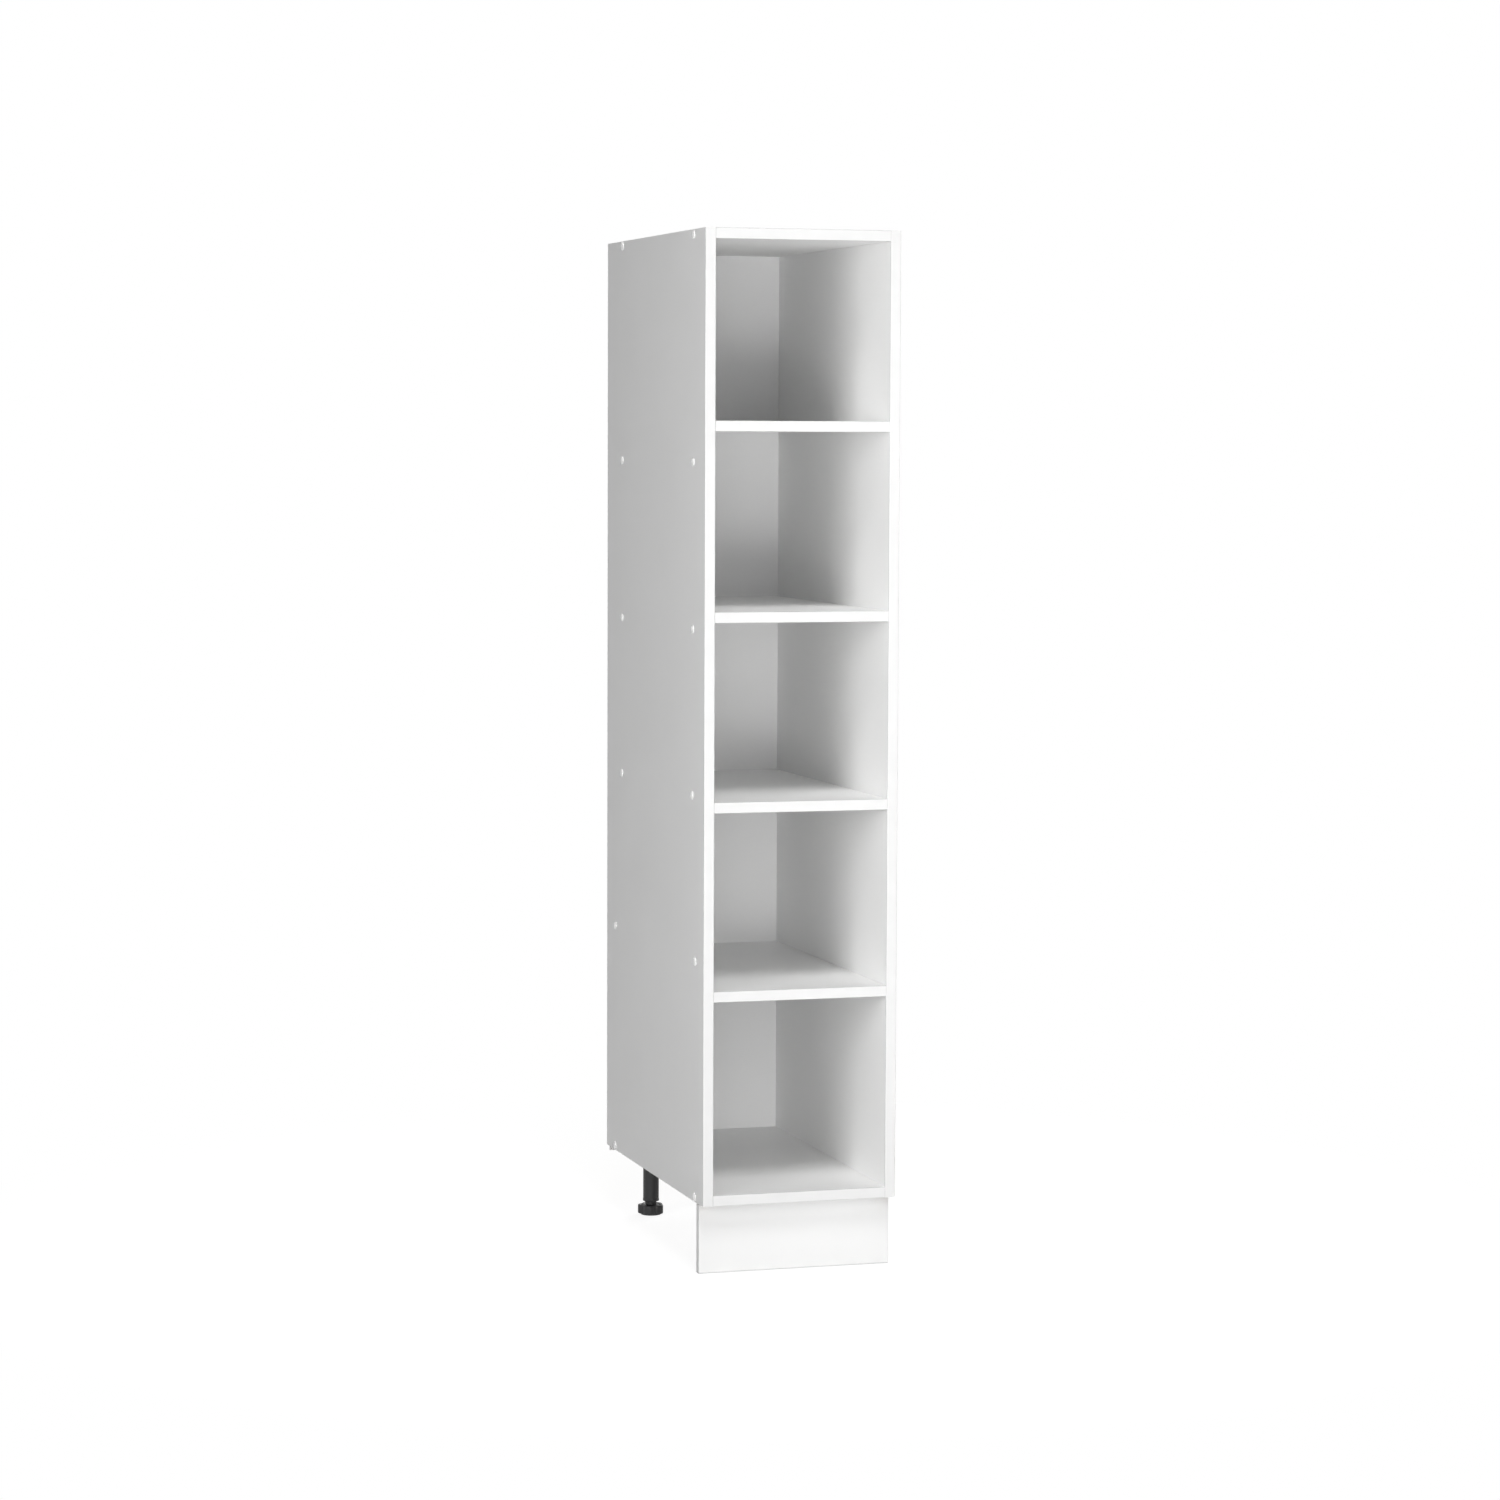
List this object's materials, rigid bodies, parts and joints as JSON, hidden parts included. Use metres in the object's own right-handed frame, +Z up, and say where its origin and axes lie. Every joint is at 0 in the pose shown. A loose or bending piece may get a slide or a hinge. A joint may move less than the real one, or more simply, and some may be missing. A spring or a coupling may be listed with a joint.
{
  "type": "kitchen shelf unit",
  "caption": "Tall narrow white open kitchen cabinet with fixed shelves, a thin back, a clip-on plinth and screw-adjustable black legs.",
  "frame": {"origin": "on the floor under the middle of the unit", "axes": "+Z up, the open front faces -Y, +X to the right seen from the front"},
  "size_m": [0.3048, 0.5608, 1.546],
  "materials": {
    "white_board": "white melamine face on particle board, satin",
    "edge_strip": "white edge strip, satin",
    "back_board": "white painted thin fibreboard, satin",
    "plinth_board": "white melamine face, satin",
    "white_plastic": "white moulded plastic, smooth",
    "black_plastic": "black moulded plastic, fine texture",
    "grey_rubber": "dark grey rubber, matte",
    "zinc_steel": "zinc-plated steel",
    "cast_zinc": "die-cast zinc, satin",
    "beech": "bare beech"
  },
  "bodies": {
    "carcass": {"back_panel": "back_board", "back_panel_nails": "zinc_steel", "bottom_edge": "edge_strip", "bottom_panel": "white_board", "cam_bolts": "zinc_steel", "cam_locks": "cast_zinc", "carcass_screws_left": "zinc_steel", "carcass_screws_right": "zinc_steel", "joining_plugs_left": "white_plastic", "joining_plugs_right": "white_plastic", "leg_column_front_left": "black_plastic", "leg_column_front_right": "black_plastic", "leg_column_rear_left": "black_plastic", "leg_column_rear_right": "black_plastic", "leg_plate_front_left": "black_plastic", "leg_plate_front_right": "black_plastic", "leg_plate_rear_left": "black_plastic", "leg_plate_rear_right": "black_plastic", "leg_plate_screws": "zinc_steel", "panel_dowels": "beech", "screw_caps_left": "white_plastic", "screw_caps_right": "white_plastic", "shelf_1": "white_board", "shelf_2": "white_board", "shelf_3": "white_board", "shelf_4": "white_board", "shelf_dowels": "beech", "shelf_edge_1": "edge_strip", "shelf_edge_2": "edge_strip", "shelf_edge_3": "edge_strip", "shelf_edge_4": "edge_strip", "side_edge_left": "edge_strip", "side_edge_right": "edge_strip", "side_panel_left": "white_board", "side_panel_right": "white_board", "top_edge": "edge_strip", "top_panel": "white_board"},
    "plinth": {"plinth_board": "plinth_board", "plinth_clip_left": "black_plastic", "plinth_clip_right": "black_plastic", "plinth_clip_screws": "zinc_steel"},
    "pad_front_left": {"foot_pad_front_left": "grey_rubber"},
    "knob_front_left": {"foot_knob_front_left": "black_plastic", "foot_stem_front_left": "black_plastic"},
    "pad_front_right": {"foot_pad_front_right": "grey_rubber"},
    "knob_front_right": {"foot_knob_front_right": "black_plastic", "foot_stem_front_right": "black_plastic"},
    "pad_rear_left": {"foot_pad_rear_left": "grey_rubber"},
    "knob_rear_left": {"foot_knob_rear_left": "black_plastic", "foot_stem_rear_left": "black_plastic"},
    "pad_rear_right": {"foot_pad_rear_right": "grey_rubber"},
    "knob_rear_right": {"foot_knob_rear_right": "black_plastic", "foot_stem_rear_right": "black_plastic"}
  },
  "joints": [
    {"name": "plinth_pull_off", "type": "slide", "parent": "carcass", "child": "plinth", "axis": [0, -1, 0], "range_m": [0, 0.08]},
    {"name": "foot_lift_front_left", "type": "slide", "parent": "carcass", "child": "pad_front_left", "axis": [0, 0, -1], "range_m": [-0.004, 0.016]},
    {"name": "foot_turn_front_left", "type": "hinge", "parent": "pad_front_left", "child": "knob_front_left", "pos_m": [-0.092, -0.1954, 0.009], "axis": [0, 0, -1], "range_deg": [-358, 1438]},
    {"name": "foot_lift_front_right", "type": "slide", "parent": "carcass", "child": "pad_front_right", "axis": [0, 0, -1], "range_m": [-0.004, 0.016]},
    {"name": "foot_turn_front_right", "type": "hinge", "parent": "pad_front_right", "child": "knob_front_right", "pos_m": [0.092, -0.1954, 0.009], "axis": [0, 0, -1], "range_deg": [-358, 1438]},
    {"name": "foot_lift_rear_left", "type": "slide", "parent": "carcass", "child": "pad_rear_left", "axis": [0, 0, -1], "range_m": [-0.004, 0.016]},
    {"name": "foot_turn_rear_left", "type": "hinge", "parent": "pad_rear_left", "child": "knob_rear_left", "pos_m": [-0.092, 0.2196, 0.009], "axis": [0, 0, -1], "range_deg": [-358, 1438]},
    {"name": "foot_lift_rear_right", "type": "slide", "parent": "carcass", "child": "pad_rear_right", "axis": [0, 0, -1], "range_m": [-0.004, 0.016]},
    {"name": "foot_turn_rear_right", "type": "hinge", "parent": "pad_rear_right", "child": "knob_rear_right", "pos_m": [0.092, 0.2196, 0.009], "axis": [0, 0, -1], "range_deg": [-358, 1438]}
  ],
  "couplings": [
    {"joint": "foot_lift_front_left", "follows": "foot_turn_front_left", "m_per_rad": 0.00063662},
    {"joint": "foot_lift_front_right", "follows": "foot_turn_front_right", "m_per_rad": 0.00063662},
    {"joint": "foot_lift_rear_left", "follows": "foot_turn_rear_left", "m_per_rad": 0.00063662},
    {"joint": "foot_lift_rear_right", "follows": "foot_turn_rear_right", "m_per_rad": 0.00063662}
  ]
}
